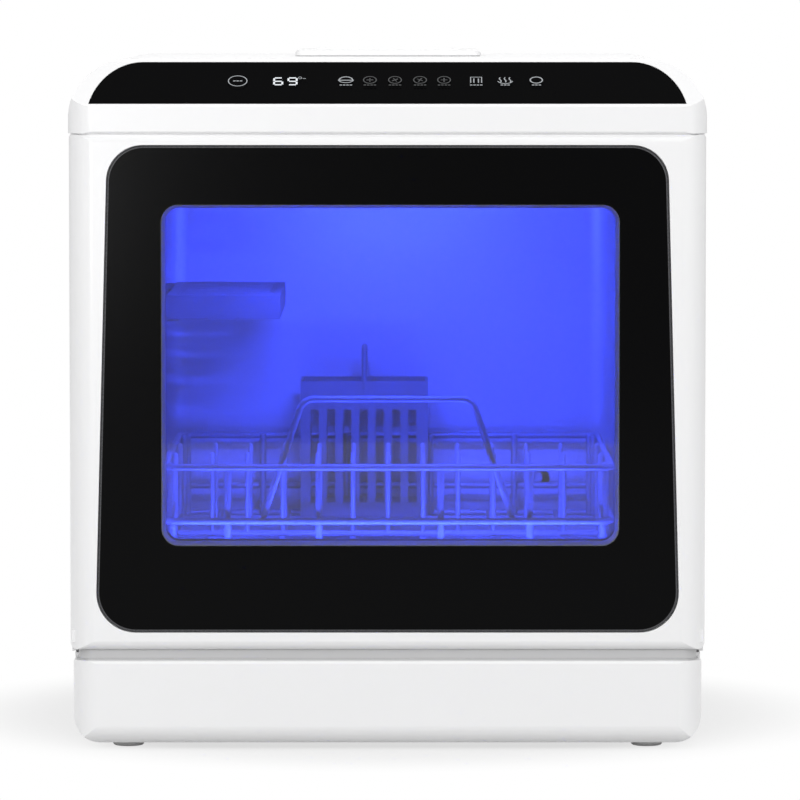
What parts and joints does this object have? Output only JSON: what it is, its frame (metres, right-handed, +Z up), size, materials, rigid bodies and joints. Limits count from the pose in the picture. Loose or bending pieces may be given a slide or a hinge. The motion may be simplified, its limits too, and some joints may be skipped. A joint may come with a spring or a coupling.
{
  "type": "countertop dishwasher",
  "caption": "Countertop dishwasher with drop-down glass door, sliding wire basket, folding cup shelf, spray arms, filling lid and water circuit.",
  "frame": {"origin": "On the table, under the middle of the whole machine with its connections.", "axes": "+X to the right of a person in front of the door, +Y to the back, +Z up; the door faces -Y."},
  "size_m": [0.42, 0.432, 0.4599],
  "materials": {
    "white_gloss": "gloss",
    "white_matte": "satin",
    "black_glass": "gloss",
    "clear_glass": "clear",
    "bezel_grey": "satin",
    "black_plastic": "matte",
    "dark_plastic": "matte",
    "grey_plastic": "satin",
    "tank_plastic": "translucent",
    "steel": "brushed",
    "bright_wire": "polished",
    "foot_rubber": "matte",
    "seal_rubber": "matte",
    "board_green": "matte",
    "lamp_blue": "lit",
    "float_yellow": "matte"
  },
  "bodies": {
    "cabinet": {"base_tray": "white_matte", "kick_panel": "white_gloss", "left_side_panel": "white_gloss", "right_side_panel": "white_gloss", "top_cover": "white_gloss", "front_fascia": "white_gloss", "back_panel": "white_matte", "feet": "foot_rubber", "case_screws": "steel", "control_glass": "black_glass", "control_board": "board_green", "display_module": "black_plastic", "lid_pin": "steel", "fill_funnel": "white_matte", "fill_strainer": "steel", "fill_hose": "tank_plastic", "water_tank": "tank_plastic", "tub": "grey_plastic", "tub_gasket": "seal_rubber", "basket_rails": "grey_plastic", "chamber_lamp": "lamp_blue", "hinge_brackets": "steel", "hinge_pins": "steel", "latch_housing": "dark_plastic", "sump": "dark_plastic", "sump_heater": "steel", "wash_pump": "dark_plastic", "feed_pipe": "seal_rubber", "riser_hose": "seal_rubber", "lower_arm_post": "dark_plastic", "upper_arm_post": "dark_plastic", "drain_pump": "dark_plastic", "drain_hose": "seal_rubber", "inlet_valve": "white_matte", "inlet_hose": "seal_rubber", "cord_gland": "black_plastic", "drying_fan": "dark_plastic", "main_board": "board_green", "shelf_bracket": "steel"},
    "door": {"door_frame": "white_gloss", "outer_glass": "clear_glass", "door_core": "black_plastic", "window_bezel": "bezel_grey", "inner_glass": "clear_glass", "door_liner": "grey_plastic", "detergent_cup": "white_matte", "door_striker": "steel"},
    "basket": {"dish_basket": "bright_wire", "basket_handle": "bright_wire"},
    "cutlery": {"cutlery_basket": "grey_plastic"},
    "shelf": {"cup_shelf": "grey_plastic"},
    "lower_arm": {"lower_spray_arm": "grey_plastic"},
    "upper_arm": {"upper_spray_arm": "grey_plastic"},
    "lid": {"fill_lid": "white_gloss"},
    "filter": {"sump_filter": "grey_plastic"},
    "wash_wheel": {"wash_impeller": "grey_plastic"},
    "drain_wheel": {"drain_impeller": "grey_plastic"},
    "fan_wheel": {"fan_impeller": "black_plastic"},
    "lock": {"latch_hook": "steel"},
    "float": {"leak_float": "float_yellow"}
  },
  "joints": [
    {"name": "door_hinge", "type": "hinge", "parent": "cabinet", "child": "door", "pos_m": [0, -0.202, 0.075], "axis": [1, 0, 0], "range_deg": [0, 90]},
    {"name": "basket_slide", "type": "slide", "parent": "cabinet", "child": "basket", "axis": [0, -1, 0], "range_m": [0, 0.1257]},
    {"name": "cutlery_lift", "type": "slide", "parent": "basket", "child": "cutlery", "axis": [0, 0, 1], "range_m": [0, 0.11]},
    {"name": "cup_shelf_fold", "type": "hinge", "parent": "cabinet", "child": "shelf", "pos_m": [-0.157, 0.014, 0.288], "axis": [0, -1, 0], "range_deg": [0, 88]},
    {"name": "lower_spray_spin", "type": "hinge", "parent": "cabinet", "child": "lower_arm", "pos_m": [0, -0.0025, 0.108], "axis": [0, 0, 1], "continuous": true},
    {"name": "upper_spray_spin", "type": "hinge", "parent": "cabinet", "child": "upper_arm", "pos_m": [0, -0.0025, 0.378], "axis": [0, 0, 1], "continuous": true},
    {"name": "fill_lid_hinge", "type": "hinge", "parent": "cabinet", "child": "lid", "pos_m": [0, 0.103, 0.4575], "axis": [-1, 0, 0], "range_deg": [0, 100]},
    {"name": "filter_twist", "type": "hinge", "parent": "cabinet", "child": "filter", "pos_m": [0.075, 0.0475, 0.08], "axis": [0, 0, 1], "range_deg": [0, 90]},
    {"name": "wash_impeller_spin", "type": "hinge", "parent": "cabinet", "child": "wash_wheel", "pos_m": [0, 0.0475, 0.045], "axis": [1, 0, 0], "continuous": true},
    {"name": "drain_impeller_spin", "type": "hinge", "parent": "cabinet", "child": "drain_wheel", "pos_m": [0.075, -0.0265, 0.04], "axis": [0, 1, 0], "continuous": true},
    {"name": "drying_fan_spin", "type": "hinge", "parent": "cabinet", "child": "fan_wheel", "pos_m": [0.18, 0.114, 0.334], "axis": [1, 0, 0], "continuous": true},
    {"name": "lock_turn", "type": "hinge", "parent": "cabinet", "child": "lock", "pos_m": [0, -0.1455, 0.4075], "axis": [1, 0, 0], "range_deg": [0, 12]},
    {"name": "leak_float_rise", "type": "slide", "parent": "cabinet", "child": "float", "axis": [0, 0, 1], "range_m": [0, 0.008]}
  ],
  "couplings": [
    {"joint": "basket_slide", "follows": "door_hinge", "m_per_rad": 0.08}
  ]
}
